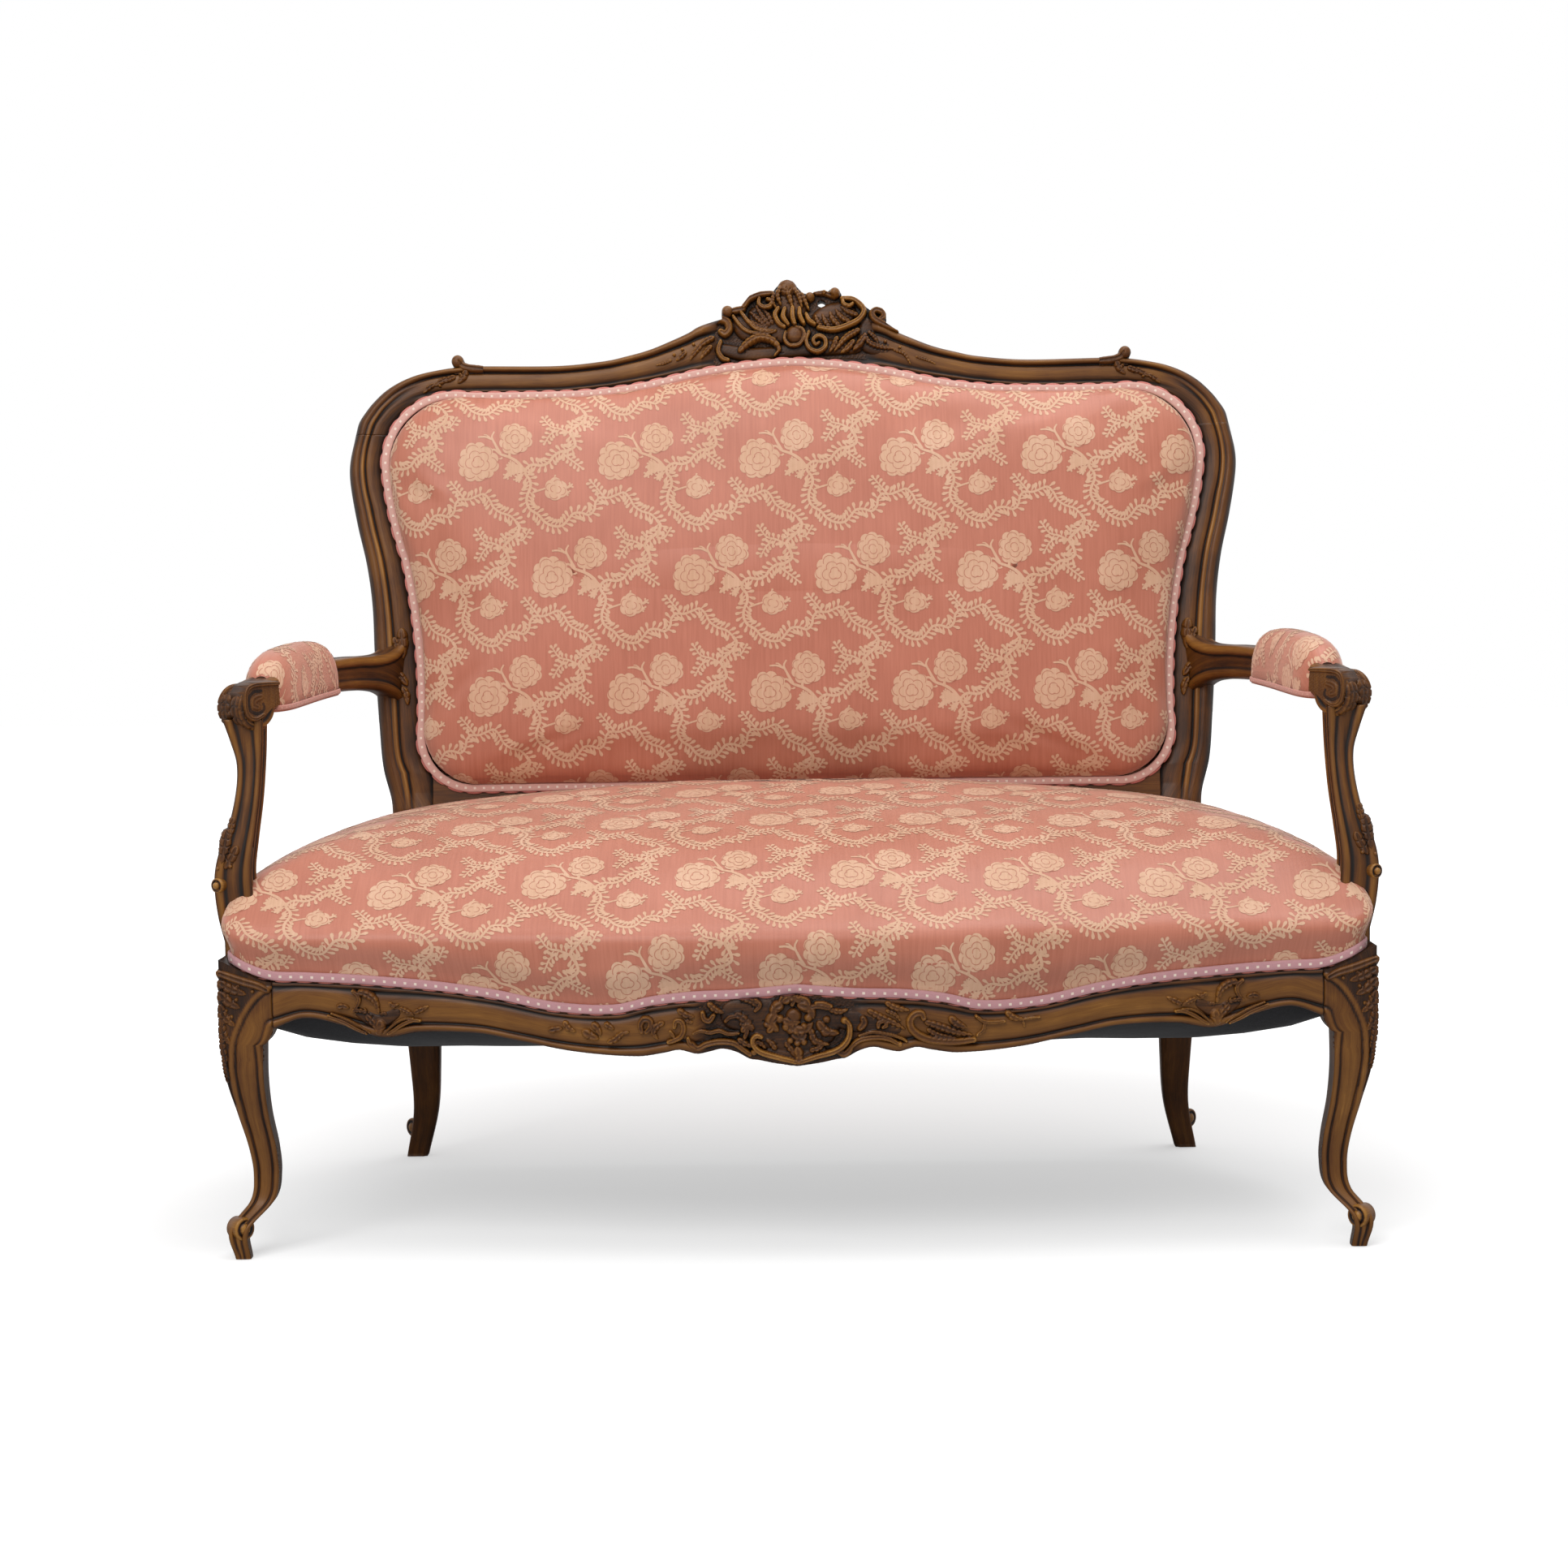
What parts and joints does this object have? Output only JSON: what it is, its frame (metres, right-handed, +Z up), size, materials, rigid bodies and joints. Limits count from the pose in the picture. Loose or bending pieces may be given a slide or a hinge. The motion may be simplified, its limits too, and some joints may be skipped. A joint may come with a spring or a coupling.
{
  "type": "cabriole sofa",
  "caption": "Cabriole sofa with a carved walnut frame, sprung damask seat, padded back and open padded arms.",
  "frame": {"origin": "centre of the bounding box at floor level", "axes": "+X across the sofa, to the right seen from the front, +Y from the front to the back, +Z up; the sofa faces -Y"},
  "size_m": [1.295, 0.7338, 1.108],
  "materials": {
    "walnut": "dark waxed walnut, golden on the worn edges",
    "beech": "bare glued beech, hidden",
    "screw_steel": "plain slotted wood screws",
    "tack_steel": "blued upholstery tacks",
    "spring_steel": "coppered spring wire",
    "jute": "woven jute webbing",
    "hessian": "coarse hessian",
    "dust_cotton": "black cotton dust cloth",
    "horsehair": "curled hair stuffing in calico",
    "damask": "salmon pink silk damask with a cream floral figure",
    "gimp": "pink braid with pale picots"
  },
  "bodies": {
    "root": {"front_leg_left": "walnut", "front_leg_right": "walnut", "rear_leg_left": "walnut", "rear_leg_right": "walnut", "front_rail": "walnut", "side_rail_left": "walnut", "side_rail_right": "walnut", "rear_rail": "walnut", "crest_rail": "walnut", "lower_back_rail": "walnut", "arm_left": "walnut", "arm_right": "walnut", "arm_post_left": "walnut", "arm_post_right": "walnut", "corner_blocks": "beech", "crest_dowels": "beech", "corner_block_screws": "screw_steel", "arm_screws": "screw_steel", "webbing_tacks": "tack_steel", "seat_springs": "spring_steel", "seat_webbing": "jute", "back_webbing": "jute", "seat_hessian": "hessian", "back_hessian": "hessian", "dust_cloth": "dust_cotton", "seat_stuffing": "horsehair", "back_stuffing": "horsehair", "arm_pad_stuffing_left": "horsehair", "arm_pad_stuffing_right": "horsehair", "seat_cover": "damask", "back_cover": "damask", "arm_pad_cover_left": "damask", "arm_pad_cover_right": "damask", "outside_back_cover": "damask", "seat_gimp": "gimp", "back_gimp": "gimp", "outside_back_gimp": "gimp", "arm_pad_gimp_left": "gimp", "arm_pad_gimp_right": "gimp"}
  },
  "joints": []
}
